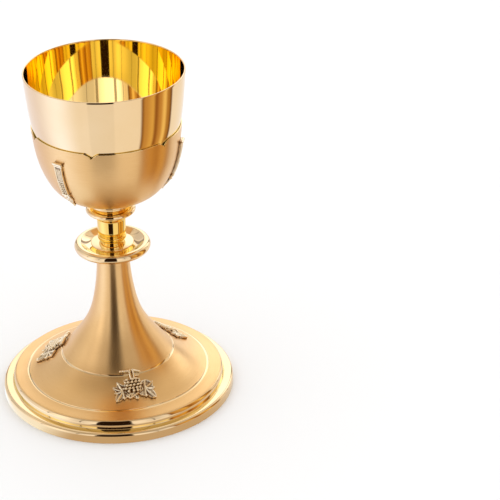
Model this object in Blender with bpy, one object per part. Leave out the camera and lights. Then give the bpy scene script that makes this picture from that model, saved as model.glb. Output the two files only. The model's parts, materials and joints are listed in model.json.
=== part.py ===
"""A communion chalice, built as it comes apart on a bench.

The result is in metres, +Z up, with its origin at the centre of the foot. Lengths in this file are
millimetres: an outline is a list of (radius, height) points, and turned() scales it.
Azimuth 0 is the front, at -Y, and grows towards +X.
"""

import math

import bmesh
import bpy
from mathutils import Matrix, Vector

MM = 0.001
GAP = 0.3

# Overall form
HEIGHT = 200.0
RIM_RADIUS = 44.9
FOOT_RADIUS = 67.5

# Cup: a spun bowl in a satin sleeve whose top edge has six small pointed notches
BOWL_WALL = 0.9
BOWL_BOTTOM = 132.0
SLEEVE_WALL = 0.7
SLEEVE_BOTTOM = 121.9
SLEEVE_HOLE = 5.8
SLEEVE_TOP = 168.0
SLEEVE_TOP_RADIUS = 42.15
NOTCHES = 6
NOTCH_AZIMUTH = -8.6
NOTCH_DEPTH = 2.8
NOTCH_RADIUS = 41.9

# Screw thread M8 x 1.25: the rod is turned a little under size, and its holes leave the usual gap
ROD_RADIUS = 3.9
ROD_HOLE = ROD_RADIUS + GAP
ROD_BOTTOM = 64.5
ROD_TOP = 120.0
ROD_CHAMFER = 0.6

# Turned stack between the cup and the stem, from the top down
BOSS_SPIGOT = 4.8
BOSS_RADIUS = 13.0
BOSS_SHOULDER = 121.4
BOSS_FLANGE = 1.4
BOSS_STEP_RADIUS = 12.1
BOSS_STEP = 1.4
BOSS_DRUM_RADIUS = 10.7
BOSS_DRUM_BOTTOM = 114.7
BOSS_BOTTOM = 113.6
BOSS_FACE = 7.4
WASHER_RADIUS = 6.6
WASHER_BOTTOM = 112.9
WASHER_TOP = 113.3
COLLAR_FLOOR = 112.6
COLLAR_FLOOR_RADIUS = 8.6
COLLAR_BOTTOM = 109.2
COLLAR_RADIUS = 14.2
COLLAR_BEAD = 1.35
COLLAR_BEAD_HEIGHT = 115.0
NECK_TOP = 108.9
NECK_BOTTOM = 99.2
NECK_RADIUS = 8.1
NECK_FOOT = 6.8
NECK_ROUNDING = 3.0
BEAD_TOP = 98.9
BEAD_BOTTOM = 95.2
BEAD_RADIUS = 8.2
BEAD_FOOT = 6.9
RING_TOP = 94.9
RING_BOTTOM = 90.9
RING_RADIUS = 12.3
RING_EDGE = 0.45
RING_EDGE_HEIGHT = 93.65
RING_FOOT = 8.4
NODE_RADIUS = 21.9
NODE_TUBE = 2.6
NODE_LIP = 92.1
NODE_FLOOR = 90.6
NODE_FLOOR_RADIUS = 9.0
NODE_BOTTOM = 87.3
NODE_SEAT = 10.8

# Stem and foot: one spun trumpet with a moulded rim and a turned-in hem
STEM_TOP = 87.0
STEM_RADIUS = 9.3
SHELL_WALL = 1.1
SATIN_EDGE = 60.0
SATIN_EDGE_HEIGHT = 11.0
SHELF_RADIUS = 62.0
SHELF_HEIGHT = 6.2
STEP_SQUASH = 2.4
EDGE_ROUND = 2.0
EDGE_DRAFT = 0.1
HEM_RADIUS = 62.5
HEM_THICKNESS = 1.2
HEM_CHAMFER = 0.6

# Fastening inside the stem
BUSH_BOTTOM = 79.0
BUSH_RADIUS = 7.8
FLAT_WASHER_TOP = 78.7
FLAT_WASHER_THICKNESS = 1.6
FLAT_WASHER_RADIUS = 8.0
SPRING_WASHER_TOP = 76.8
SPRING_WASHER_THICKNESS = 2.0
SPRING_WASHER_RADIUS = 7.4
SPRING_WASHER_OPENING = 9.0
NUT_TOP = 74.5
NUT_HEIGHT = 6.8
NUT_FLATS = 13.0

# Cast ornaments, three on the cup and three on the foot
CUP_ORNAMENTS = {"left": -37.0, "right": 83.0, "rear": 203.0}
FOOT_ORNAMENTS = {"front": 14.0, "right": 134.0, "left": 254.0}
CUP_ORNAMENT_TOP = 159.8
FOOT_ORNAMENT_TOP_RADIUS = 31.0
ORNAMENT_LIFT = 0.25
PIN_RADIUS = 0.8
PIN_REACH = 2.6
PIN_HEAD = 0.9
PIN_PLACES = ((-4.5, 11.0), (4.5, 13.0))

MATERIALS = {
    "polished_gold": ((0.90, 0.66, 0.33), 0.10, 1.0),
    "satin_gold": ((0.82, 0.57, 0.30), 0.34, 1.0),
    "cast_gold": ((0.86, 0.64, 0.36), 0.24, 1.0),
    "machined_brass": ((0.78, 0.60, 0.30), 0.30, 1.0),
    "zinc_steel": ((0.62, 0.62, 0.60), 0.35, 1.0),
    "fibre": ((0.45, 0.12, 0.08), 0.70, 0.0),
}


# ---------------------------------------------------------------- outlines


def arc(radius, height, size, start, end, steps, squash=1.0):
    """Points on a circle about (radius, height), between two angles in degrees; squash stretches it up."""
    angles = [math.radians(start + (end - start) * i / steps) for i in range(steps + 1)]
    return [(radius + size * math.cos(a), height + squash * size * math.sin(a)) for a in angles]


def smooth(points, steps):
    """A Catmull-Rom curve through the points, with this many steps to each span."""
    ends = [_beyond(points[0], points[1])] + points + [_beyond(points[-1], points[-2])]
    curve = []
    for before, a, b, after in zip(ends, ends[1:], ends[2:], ends[3:]):
        curve += [_between(before, a, b, after, i / steps) for i in range(steps)]
    return curve + [points[-1]]


def _beyond(end, inner):
    return (2 * end[0] - inner[0], 2 * end[1] - inner[1])


def _between(before, a, b, after, t):
    def along(p, q, r, s):
        bend = 2 * p - 5 * q + 4 * r - s
        twist = -p + 3 * q - 3 * r + s
        return q + 0.5 * t * ((r - p) + t * (bend + t * twist))

    return tuple(along(before[i], a[i], b[i], after[i]) for i in (0, 1))


def offset(points, distance):
    """The points moved to the right of their direction of travel: outward on a line that climbs."""
    moved = []
    for i, (r, z) in enumerate(points):
        before = points[max(i - 1, 0)]
        after = points[min(i + 1, len(points) - 1)]
        run = Vector((after[0] - before[0], after[1] - before[1])).normalized()
        moved.append((max(r + distance * run.y, 0.0), z - distance * run.x))
    return moved


def bowl_line():
    """The bowl's outer surface, from the middle of its bottom up to the rim."""
    belly = [(0.0, BOWL_BOTTOM), (12.0, 133.6), (22.5, 138.2), (30.0, 144.6), (36.0, 153.5), (39.4, 161.5)]
    flank = [(41.1, 167.5), (42.9, 178.5), (44.1, 190.0)]
    return smooth(belly + flank + [(RIM_RADIUS, HEIGHT - BOWL_WALL / 2)], 2)


def sleeve_line():
    """The satin sleeve's outer surface, from its bottom hole up. It is fuller than the bowl inside it."""
    bottom = [(SLEEVE_HOLE, SLEEVE_BOTTOM), (12.2, 122.3), (17.9, 123.7), (23.6, 126.1), (29.7, 130.3)]
    side = [(35.6, 139.1), (39.9, 151.8), (41.2, 159.7)]
    return smooth(bottom + side + [(SLEEVE_TOP_RADIUS, SLEEVE_TOP)], 2)


def trumpet_line():
    """The satin part of the stem and foot, from the stem's top down to the moulded rim."""
    stem = [(STEM_RADIUS, STEM_TOP), (9.7, 78.0), (12.1, 60.0), (14.8, 50.0), (19.0, 41.5)]
    flare = [(25.0, 33.0), (32.6, 23.6), (42.0, 16.6), (52.6, 12.4)]
    return smooth(stem + flare + [(SATIN_EDGE, SATIN_EDGE_HEIGHT)], 2)


# ---------------------------------------------------------------- solids


def add_object(name, mesh_source, material):
    mesh = bpy.data.meshes.new(name)
    bmesh.ops.recalc_face_normals(mesh_source, faces=mesh_source.faces)
    mesh_source.to_mesh(mesh)
    mesh_source.free()
    mesh.materials.append(material)
    mesh.shade_smooth()
    mesh.set_sharp_from_angle(angle=math.radians(35))
    made = bpy.data.objects.new(name, mesh)
    bpy.context.scene.collection.objects.link(made)
    return made


def turned(name, outline, segments, material, start=0.0):
    """A solid of revolution: the outline spun about +Z from an azimuth. Its ends may lie on the axis."""
    source = bmesh.new()
    heading = Vector((math.sin(math.radians(start)), -math.cos(math.radians(start)), 0.0))
    points = [source.verts.new((heading * r + Vector((0, 0, z))) * MM) for r, z in outline]
    pairs = list(zip(points, points[1:]))
    if outline[0][0] > 0:
        pairs.append((points[-1], points[0]))
    edges = [source.edges.new(pair) for pair in pairs]
    bmesh.ops.spin(
        source,
        geom=points + edges,
        cent=(0, 0, 0),
        axis=(0, 0, 1),
        angle=2 * math.pi,
        steps=segments,
        use_merge=True,
    )
    bmesh.ops.remove_doubles(source, verts=source.verts, dist=0.001 * MM)
    return add_object(name, source, material)


def washer(name, inner, outer, bottom, top, material):
    outline = [(outer, top), (outer, bottom), (inner, bottom), (inner, top)]
    return turned(name, outline, 24, material)


def surface(line, start_radius):
    """A function from (distance down the line, across it, above it, azimuth) to a point in metres.

    The line runs downward, and distances begin at its point nearest start_radius."""
    first = min(range(len(line)), key=lambda i: abs(line[i][0] - start_radius))
    path = line[first:]

    def place(down, across, above, azimuth):
        left = down
        for (r0, z0), (r1, z1) in zip(path, path[1:]):
            run = Vector((r1 - r0, z1 - z0))
            if left <= run.length or (r1, z1) == path[-1]:
                break
            left -= run.length
        run.normalize()
        normal = Vector((-run.y, run.x))
        at = Vector((r0, z0)) + run * left + normal * above
        angle = math.radians(azimuth) + across / max(r0, 1.0)
        return Vector((at.x * math.sin(angle), -at.x * math.cos(angle), at.y)) * MM

    return place


def relief(name, rows, columns, place, azimuth, material):
    """A cast plate that follows a surface: rows of (distance down, left edge, right edge, thickness)."""
    source = bmesh.new()

    def layer(share):
        grid = []
        for down, left, right, thick in rows:
            shares = [i / (columns - 1) for i in range(columns)]
            line = []
            for t in shares:
                crown = 1.0 - 0.45 * abs(2 * t - 1) ** 3
                above = ORNAMENT_LIFT + share * thick * crown
                line.append(source.verts.new(place(down, left + (right - left) * t, above, azimuth)))
            grid.append(line)
        return grid

    bottom = layer(0.0)
    top = layer(1.0)
    for grid in (bottom, top):
        for upper, lower in zip(grid, grid[1:]):
            for i in range(columns - 1):
                source.faces.new((upper[i], upper[i + 1], lower[i + 1], lower[i]))
    for low, high in zip(_border(bottom), _border(top)):
        source.faces.new((low[0], low[1], high[1], high[0]))
    return add_object(name, source, material)


def _border(grid):
    """The pairs of neighbouring points round a grid's edge."""
    right = [row[-1] for row in grid[1:]]
    left = [row[0] for row in grid[-2:0:-1]]
    around = grid[0] + right + grid[-1][-2::-1] + left
    return list(zip(around, around[1:] + around[:1]))


def pin(name, foot_place, spot, azimuth, radius, reach):
    """A round pin along the surface's normal at a spot, from inside a cast plate to below the shell."""
    across, down = spot
    head = foot_place(down, across, PIN_HEAD, azimuth)
    tail = foot_place(down, across, -reach, azimuth)
    source = bmesh.new()
    size = radius * MM
    length = (head - tail).length
    bmesh.ops.create_cone(source, cap_ends=True, segments=10, radius1=size, radius2=size, depth=length)
    turn = (head - tail).to_track_quat("Z", "Y").to_matrix().to_4x4()
    bmesh.ops.transform(source, matrix=Matrix.Translation((head + tail) / 2) @ turn, verts=source.verts)
    made = add_object(name, source, bpy.data.materials["cast_gold"])
    made.hide_render = True
    made.display_type = "WIRE"
    return made


def combine(target, tool, operation):
    step = target.modifiers.new(tool.name, "BOOLEAN")
    step.object = tool
    step.operation = operation
    step.solver = "EXACT"


# ---------------------------------------------------------------- the cup


def make_bowl(materials):
    outer = bowl_line()
    inner = offset(outer, -BOWL_WALL)[::2]
    inner[0] = (0.0, BOWL_BOTTOM + BOWL_WALL)
    lip = (RIM_RADIUS - BOWL_WALL / 2, HEIGHT)
    return turned("cup_bowl", outer + [lip] + inner[::-1], 36, materials["polished_gold"])


def make_sleeve(materials):
    """The sleeve's top ring of points dips at six places, which makes the pointed notches."""
    pitch = 360.0 / NOTCHES
    outer = sleeve_line()
    inner = offset(outer, -SLEEVE_WALL)
    sleeve = turned("cup_sleeve", outer + inner[::-1], 60, materials["satin_gold"], NOTCH_AZIMUTH)
    for vertex in sleeve.data.vertices:
        azimuth = math.degrees(math.atan2(vertex.co.x, -vertex.co.y)) - NOTCH_AZIMUTH
        nearest = abs((azimuth + pitch / 2) % pitch - pitch / 2)
        if nearest < 1.0 and vertex.co.z > (SLEEVE_TOP - 1.0) * MM:
            vertex.co.z -= NOTCH_DEPTH * MM
            vertex.co.x *= NOTCH_RADIUS / SLEEVE_TOP_RADIUS
            vertex.co.y *= NOTCH_RADIUS / SLEEVE_TOP_RADIUS
    return sleeve


def make_cup_ornaments(materials):
    """Console-shaped castings: a moulded cap bar, a long shaft, then a drop that narrows to a scroll."""
    cap = [(0.0, -3.3, 3.3, 2.1), (2.5, -3.3, 3.3, 2.1)]
    shaft = [(3.0, -2.5, 2.5, 1.7), (9.0, -2.4, 2.4, 1.7), (15.3, -2.3, 2.3, 1.7), (21.6, -2.1, 2.1, 1.7)]
    drop = [
        (22.5, -1.7, 1.7, 1.2),
        (24.8, -2.7, 2.7, 1.5),
        (27.9, -2.3, 2.3, 1.3),
        (30.6, -1.6, 1.6, 1.1),
        (33.8, -0.7, 0.7, 0.8),
    ]
    place = surface(sleeve_line()[::-1], SLEEVE_TOP_RADIUS)
    skip = SLEEVE_TOP - CUP_ORNAMENT_TOP
    rows = [(down + skip, left, right, thick) for down, left, right, thick in cap + shaft + drop]
    for side, azimuth in CUP_ORNAMENTS.items():
        relief("cup_ornament_" + side, rows, 5, place, azimuth, materials["cast_gold"])


def make_boss(materials):
    """The cup's foot: a flange and two stepped drums, with a blind M8 thread from below."""
    top = BOWL_BOTTOM - GAP
    thread_end = ROD_TOP + GAP
    outline = [(0.0, top), (BOSS_SPIGOT, top), (BOSS_SPIGOT, BOSS_SHOULDER)]
    flange = BOSS_SHOULDER - BOSS_FLANGE
    step = flange - BOSS_STEP
    outline += [(BOSS_RADIUS, BOSS_SHOULDER), (BOSS_RADIUS, flange), (BOSS_STEP_RADIUS, flange - GAP)]
    outline += [(BOSS_STEP_RADIUS, step), (BOSS_DRUM_RADIUS, step - GAP)]
    outline += [(BOSS_DRUM_RADIUS, BOSS_DRUM_BOTTOM), (BOSS_FACE, BOSS_BOTTOM)]
    outline += [(ROD_HOLE, BOSS_BOTTOM), (ROD_HOLE, thread_end), (0.0, thread_end)]
    return turned("cup_boss", outline, 28, materials["polished_gold"])


# ---------------------------------------------------------------- the turned stack


def make_collar(materials):
    """A dished flange with a round bead for its edge, above a hollow flare that runs down to the neck."""
    bead = COLLAR_RADIUS - COLLAR_BEAD
    outline = [(ROD_HOLE, COLLAR_FLOOR), (COLLAR_FLOOR_RADIUS, COLLAR_FLOOR)]
    outline += arc(bead, COLLAR_BEAD_HEIGHT, COLLAR_BEAD, 190, -85, 7)
    outline += [(11.5, 112.5), (10.2, 111.2), (9.2, 110.1), (NECK_RADIUS + 0.2, COLLAR_BOTTOM)]
    outline += [(ROD_HOLE, COLLAR_BOTTOM)]
    return turned("collar", outline, 28, materials["polished_gold"])


def make_neck(materials):
    """A plain drum with a thread for the rod; its lower edge is rounded in."""
    inset = NECK_RADIUS - NECK_FOOT
    start = NECK_BOTTOM + NECK_ROUNDING
    outline = [(ROD_HOLE, NECK_TOP), (NECK_RADIUS, NECK_TOP), (NECK_RADIUS, start)]
    outline += arc(NECK_FOOT, start, inset, -20, -90, 3, squash=NECK_ROUNDING / inset)
    outline += [(ROD_HOLE, NECK_BOTTOM)]
    return turned("neck", outline, 28, materials["polished_gold"])


def make_neck_bead(materials):
    """A little bowl-shaped bead, widest near its top."""
    lip = [(ROD_HOLE, BEAD_TOP), (BEAD_RADIUS - 0.6, BEAD_TOP), (BEAD_RADIUS, BEAD_TOP - 0.6)]
    side = [(BEAD_RADIUS - 0.05, BEAD_TOP - 1.4), (BEAD_RADIUS - 0.5, BEAD_TOP - 2.6)]
    foot = [(BEAD_FOOT, BEAD_BOTTOM), (ROD_HOLE, BEAD_BOTTOM)]
    return turned("neck_bead", lip + side + foot, 24, materials["polished_gold"])


def make_neck_ring(materials):
    """A flared disc with a thin round edge, on a hollow-sided foot."""
    outline = [(ROD_HOLE, RING_TOP), (BEAD_FOOT + 0.4, RING_TOP)]
    outline += arc(RING_RADIUS - RING_EDGE, RING_EDGE_HEIGHT, RING_EDGE, 80, -100, 4)
    outline += [(10.0, 92.6), (8.9, 91.9), (RING_FOOT, RING_BOTTOM), (ROD_HOLE, RING_BOTTOM)]
    return turned("neck_ring", outline, 28, materials["polished_gold"])


def make_node(materials):
    """The knop: a saucer that rises gently to a thick round lip."""
    centre = NODE_RADIUS - NODE_TUBE
    outline = [(ROD_HOLE, NODE_FLOOR), (NODE_FLOOR_RADIUS, NODE_FLOOR), (13.2, 91.3), (16.0, 92.8)]
    outline += arc(centre, NODE_LIP, NODE_TUBE, 115, -95, 8)
    outline += [(NODE_SEAT, NODE_BOTTOM), (ROD_HOLE, NODE_BOTTOM)]
    return turned("node", outline, 36, materials["polished_gold"])


# ---------------------------------------------------------------- stem, foot and fastening


def foot_outline():
    """The trumpet, a quarter-round step, a shelf, the rounded outer wall and the hem it stands on."""
    outside = trumpet_line()
    outside += arc(SATIN_EDGE, SHELF_HEIGHT, SHELF_RADIUS - SATIN_EDGE, 68, 0, 3, squash=STEP_SQUASH)
    outside += arc(FOOT_RADIUS - EDGE_DRAFT - EDGE_ROUND, SHELF_HEIGHT - EDGE_ROUND, EDGE_ROUND, 90, 0, 3)
    outside += [(FOOT_RADIUS, 0.7), (FOOT_RADIUS - HEM_CHAMFER, 0.0)]
    outside += [(HEM_RADIUS, 0.0), (HEM_RADIUS, HEM_THICKNESS)]
    wall = FOOT_RADIUS - SHELL_WALL
    ceiling = SHELF_HEIGHT - SHELL_WALL
    inside = [(wall, HEM_THICKNESS), (wall, 3.9), (wall - 1.4, ceiling)]
    inside += [(SATIN_EDGE + SHELL_WALL, ceiling), (SATIN_EDGE + 0.7, SHELF_HEIGHT + EDGE_ROUND)]
    inside += offset(trumpet_line()[::-1], -SHELL_WALL)[::2]
    inside[-1] = (STEM_RADIUS - SHELL_WALL, STEM_TOP)
    return outside + inside


def make_stem_foot(materials):
    foot = turned("stem_foot", foot_outline(), 36, materials["satin_gold"])
    place = surface(trumpet_line(), FOOT_ORNAMENT_TOP_RADIUS)
    for side, azimuth in FOOT_ORNAMENTS.items():
        for number, spot in enumerate(PIN_PLACES):
            hole = pin(f"hole_{side}_{number}", place, spot, azimuth, PIN_RADIUS + GAP, PIN_REACH + 1.0)
            combine(foot, hole, "DIFFERENCE")
    return foot


def make_foot_ornaments(materials):
    """Vine sprays: a twig, grapes, and a leaf to each side. Two rivet pins pass through the foot."""
    twig = [(-0.5, -4.9, 4.6, 1.8), (1.2, -5.0, 6.6, 1.8), (2.2, -0.5, 3.2, 1.8), (4.6, -0.5, 3.2, 2.0)]
    bunch = [(5.6, -3.4, 4.4, 2.6), (7.2, -7.6, 8.6, 2.6), (10.0, -10.4, 13.0, 2.6)]
    leaves = [(13.0, -10.2, 13.6, 2.6), (16.0, -10.0, 13.2, 2.2)]
    tips = [(18.0, -10.0, 13.2, 1.9), (19.2, -9.9, 13.4, 1.6)]
    rows = twig + bunch + leaves + tips
    place = surface(trumpet_line(), FOOT_ORNAMENT_TOP_RADIUS)
    for side, azimuth in FOOT_ORNAMENTS.items():
        spray = relief("foot_ornament_" + side, rows, 6, place, azimuth, materials["cast_gold"])
        for number, spot in enumerate(PIN_PLACES):
            shank = pin(f"pin_{side}_{number}", place, spot, azimuth, PIN_RADIUS, PIN_REACH)
            combine(spray, shank, "UNION")


def make_bush(materials):
    """Brazed into the stem's mouth; the rod passes through it and the nut pulls against it."""
    return washer("stem_bush", ROD_HOLE, BUSH_RADIUS, BUSH_BOTTOM, STEM_TOP, materials["machined_brass"])


def make_rod(materials):
    end = ROD_RADIUS - ROD_CHAMFER
    outline = [(0.0, ROD_TOP), (end, ROD_TOP), (ROD_RADIUS, ROD_TOP - ROD_CHAMFER)]
    outline += [(ROD_RADIUS, ROD_BOTTOM + ROD_CHAMFER), (end, ROD_BOTTOM), (0.0, ROD_BOTTOM)]
    return turned("tie_rod", outline, 24, materials["machined_brass"])


def make_nut(materials):
    """A hexagon nut, bored for the rod."""
    source = bmesh.new()
    bottom = NUT_TOP - NUT_HEIGHT
    corner = NUT_FLATS / math.sqrt(3)
    profile = [(ROD_HOLE, 24, bottom), (corner, 6, bottom), (corner, 6, NUT_TOP), (ROD_HOLE, 24, NUT_TOP)]
    rings = []
    for radius, sides, height in profile:
        angles = [2 * math.pi * (i // (24 // sides)) / sides for i in range(24)]
        rings.append([Vector((radius * math.cos(a), radius * math.sin(a), height)) * MM for a in angles])
    verts = [[source.verts.new(p) for p in ring] for ring in rings]
    for ring, other in zip(verts, verts[1:] + verts[:1]):
        for i in range(24):
            source.faces.new((ring[i], ring[(i + 1) % 24], other[(i + 1) % 24], other[i]))
    bmesh.ops.remove_doubles(source, verts=source.verts, dist=0.001 * MM)
    bmesh.ops.dissolve_degenerate(source, edges=source.edges, dist=0.001 * MM)
    return add_object("stem_nut", source, materials["zinc_steel"])


def make_spring_washer(materials):
    """A split ring: its two ends stand a little apart."""
    source = bmesh.new()
    steps = 22
    opening = math.radians(SPRING_WASHER_OPENING)
    bottom = SPRING_WASHER_TOP - SPRING_WASHER_THICKNESS
    corners = [(ROD_HOLE, bottom), (SPRING_WASHER_RADIUS, bottom)]
    corners += [(SPRING_WASHER_RADIUS, SPRING_WASHER_TOP), (ROD_HOLE, SPRING_WASHER_TOP)]
    sections = []
    for i in range(steps + 1):
        a = opening / 2 + (2 * math.pi - opening) * i / steps
        places = [Vector((r * math.sin(a), -r * math.cos(a), z)) * MM for r, z in corners]
        sections.append([source.verts.new(place) for place in places])
    for near, far in zip(sections, sections[1:]):
        for i in range(4):
            source.faces.new((near[i], near[(i + 1) % 4], far[(i + 1) % 4], far[i]))
    source.faces.new(sections[0])
    source.faces.new(sections[-1])
    return add_object("spring_washer", source, materials["zinc_steel"])


# ---------------------------------------------------------------- assembly


def clear_scene():
    for item in list(bpy.data.objects):
        bpy.data.objects.remove(item, do_unlink=True)


def make_materials():
    made = {}
    for name, (colour, roughness, metallic) in MATERIALS.items():
        material = bpy.data.materials.new(name)
        material.use_nodes = True
        shader = material.node_tree.nodes["Principled BSDF"]
        shader.inputs["Base Color"].default_value = (*colour, 1.0)
        shader.inputs["Roughness"].default_value = roughness
        shader.inputs["Metallic"].default_value = metallic
        made[name] = material
    return made


def main():
    clear_scene()
    materials = make_materials()
    make_bowl(materials)
    make_sleeve(materials)
    make_cup_ornaments(materials)
    make_boss(materials)
    washer("cup_washer", ROD_HOLE, WASHER_RADIUS, WASHER_BOTTOM, WASHER_TOP, materials["fibre"])
    make_collar(materials)
    make_neck(materials)
    make_neck_bead(materials)
    make_neck_ring(materials)
    make_node(materials)
    make_stem_foot(materials)
    make_foot_ornaments(materials)
    make_bush(materials)
    make_rod(materials)
    bottom = FLAT_WASHER_TOP - FLAT_WASHER_THICKNESS
    washer("flat_washer", ROD_HOLE, FLAT_WASHER_RADIUS, bottom, FLAT_WASHER_TOP, materials["zinc_steel"])
    make_spring_washer(materials)
    make_nut(materials)


main()
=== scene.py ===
"""The looks of the communion chalice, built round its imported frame.

Lengths in the builders are millimetres; MM turns them into metres. Outlines are (radius, height) points.
Azimuth 0 is the front, at -Y, and it grows towards +X.
"""

import json
import math

import bmesh
import bpy
import numpy as np
from mathutils import Matrix, Vector


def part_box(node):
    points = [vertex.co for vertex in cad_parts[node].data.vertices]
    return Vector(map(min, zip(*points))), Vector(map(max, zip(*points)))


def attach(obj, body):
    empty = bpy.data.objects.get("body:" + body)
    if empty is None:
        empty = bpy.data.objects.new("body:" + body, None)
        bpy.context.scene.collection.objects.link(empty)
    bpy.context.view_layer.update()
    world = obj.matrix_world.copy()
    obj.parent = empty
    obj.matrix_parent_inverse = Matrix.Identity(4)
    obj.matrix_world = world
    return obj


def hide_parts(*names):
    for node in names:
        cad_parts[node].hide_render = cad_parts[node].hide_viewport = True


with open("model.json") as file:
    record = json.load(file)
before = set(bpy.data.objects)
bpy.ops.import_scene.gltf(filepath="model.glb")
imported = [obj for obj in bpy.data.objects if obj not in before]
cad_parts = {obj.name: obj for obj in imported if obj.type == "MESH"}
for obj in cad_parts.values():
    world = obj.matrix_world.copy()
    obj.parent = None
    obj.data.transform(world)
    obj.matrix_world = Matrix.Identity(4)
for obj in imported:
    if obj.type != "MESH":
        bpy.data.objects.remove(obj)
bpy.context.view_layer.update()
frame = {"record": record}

MM = 0.001
BODY_OF = {node: body for body, nodes in frame["record"]["behaviour"]["bodies"].items() for node in nodes}

# Bowl and sleeve: outlines as shares of the piece's radius and of the height of its box
BOWL_FORM = (
    (0.0, 0.0),
    (0.267, 0.0235),
    (0.501, 0.091),
    (0.668, 0.185),
    (0.802, 0.316),
    (0.8775, 0.434),
    (0.9154, 0.522),
    (0.9555, 0.684),
    (0.982, 0.853),
    (1.0, 0.9934),
)
SLEEVE_FORM = (
    (0.1376, 0.0),
    (0.2894, 0.0087),
    (0.4247, 0.0390),
    (0.5599, 0.0911),
    (0.7046, 0.1822),
    (0.8446, 0.3731),
    (0.9466, 0.6486),
    (0.9775, 0.8200),
    (1.0, 1.0),
)
BOWL_WALL = 0.9
SLEEVE_WALL = 0.7
NOTCHES = 6
NOTCH_PITCH = 360.0 / NOTCHES
NOTCH_AZIMUTH = -8.6
NOTCH_DEPTH = 2.9
NOTCH_HALF_WIDTH = 4.4
NOTCH_REACH = 7.0
NOTCH_POWER = 1.7

# The cup's boss: its steps, down from the top and in from the flange's edge
BOSS_DRUM = 7.8
BOSS_SPIGOT = 4.8
BOSS_STEP = 1.4
BOSS_FIRST_INSET = 0.9
BOSS_SECOND_INSET = 2.3
BOSS_FACE = 7.4

# Stem and foot: outline as shares of the foot's radius and of the stem's height
TRUMPET_FORM = (
    (0.1378, 1.0),
    (0.1437, 0.8966),
    (0.1793, 0.6897),
    (0.2193, 0.5747),
    (0.2815, 0.4770),
    (0.3704, 0.3793),
    (0.4830, 0.2713),
    (0.6222, 0.1908),
    (0.7793, 0.1425),
    (0.8889, 0.1264),
)
SCRIBED_RINGS = (32.6, 52.6)
SCRIBED_WIDTH = 1.5
SCRIBED_DEPTH = 0.16
SHELL_WALL = 1.1
STEP_REACH = 2.0
SHELF_HEIGHT = 6.2
EDGE_ROUND = 2.0
HEM_REACH = 5.0
HEM_THICKNESS = 1.2

# Thread of the rod
PITCH = 1.25
THREAD_DEPTH = 0.62
ROD_HOLE = 4.2
ROD_CHAMFER = 0.7
HOLE_CHAMFER = 0.4

# Washers and nut
SPLIT = 9.0
NUT_FACE = 0.96
NUT_CHAMFER = 30.0

# The clamped faces of the turned stack are drawn seated: each piece reaches this far to its neighbour
SEAT = 0.28

# Castings
CONSOLES = {"left": -37.0, "right": 83.0, "rear": 203.0}
CONSOLE_TOP = 159.8
CONSOLE_SCALE = (0.76, 0.9, 1.15)
VINES = {"front": 14.0, "right": 134.0, "left": 254.0}
VINE_TOP_RADIUS = 31.0
VINE_SCALE = (1.0, 1.03, 1.6)
RIVETS = ((-4.5, 10.7), (4.5, 12.6))
CAST_VOXEL = 0.17
CAST_BACK = -0.1
LEAF_COLUMNS = 96
LEAF_ROWS = 22
LOBE_NOTCH = 0.48
LOBE_HALF_WIDTH = 27.0
RIB_WIDTH = 0.48

# Points round a turned piece, and the corner angle that stays sharp
FINE = 256
COARSE = 96
SHARP_ANGLE = 32.0


# ---------------- outlines


def size_of(node):
    """The radius, bottom and top of a CAD node, in millimetres."""
    low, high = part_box(node)
    return high.x / MM, low.z / MM, high.z / MM


def arc(radius, height, size, start, end, steps, squash=1.0):
    """Points on a circle about (radius, height), between two angles; squash stretches it upwards."""
    angles = np.radians(np.linspace(start, end, steps + 1))
    return np.column_stack([radius + size * np.cos(angles), height + squash * size * np.sin(angles)])


def spline(points, count):
    """A natural cubic curve through the points, as count points at even steps along the chords."""
    p = np.array(points, float)
    spans = np.hypot(*np.diff(p, axis=0).T)
    knots = np.concatenate([[0.0], np.cumsum(spans)])
    system = np.eye(len(p))
    right = np.zeros_like(p)
    for i in range(1, len(p) - 1):
        system[i, i - 1 : i + 2] = spans[i - 1], 2 * (spans[i - 1] + spans[i]), spans[i]
        right[i] = 6 * ((p[i + 1] - p[i]) / spans[i] - (p[i] - p[i - 1]) / spans[i - 1])
    bend = np.linalg.solve(system, right)
    at = np.linspace(0, knots[-1], count)
    i = np.clip(np.searchsorted(knots, at, side="right") - 1, 0, len(p) - 2)
    span = spans[i][:, None]
    after = (at - knots[i])[:, None]
    before = span - after
    curved = (bend[i] * before**3 + bend[i + 1] * after**3) / (6 * span)
    first = p[i] / span - bend[i] * span / 6
    second = p[i + 1] / span - bend[i + 1] * span / 6
    return curved + (first * before + second * after)


def lengths_along(line):
    """How far each point of an outline lies from its first one, along the outline."""
    return np.concatenate([[0.0], np.cumsum(np.hypot(*np.diff(line, axis=0).T))])


def normals(line):
    """Unit normals of an outline, to the right of its direction of travel."""
    run = np.gradient(line, axis=0)
    run /= np.linalg.norm(run, axis=1)[:, None]
    return np.column_stack([run[:, 1], -run[:, 0]])


def offset(line, distance):
    """The outline moved along its normals, kept clear of the far side of the axis."""
    moved = line + normals(line) * distance
    moved[:, 0] = np.maximum(moved[:, 0], 0.0)
    return moved


def scaled(form, radius, bottom, top):
    return [(share * radius, bottom + rise * (top - bottom)) for share, rise in form]


def bowl_line():
    """The bowl's outer surface, from the middle of its bottom up to the rim."""
    return spline(scaled(BOWL_FORM, *size_of("cup_bowl")), 130)


def sleeve_line():
    """The sleeve's outer surface, from its bottom hole up to its top edge; it is fuller than the bowl."""
    return spline(scaled(SLEEVE_FORM, *size_of("cup_sleeve")), 140)


def trumpet_line():
    """The satin part of the stem and foot, from the stem's top down to the moulded rim."""
    radius, bottom, top = size_of("stem_foot")
    return spline(scaled(TRUMPET_FORM, radius, bottom, top), 150)


# ---------------- meshes


def link(name, data):
    """A new object in the scene, from a mesh, a light or a camera."""
    made = bpy.data.objects.new(name, data)
    bpy.context.scene.collection.objects.link(made)
    return made


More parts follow.
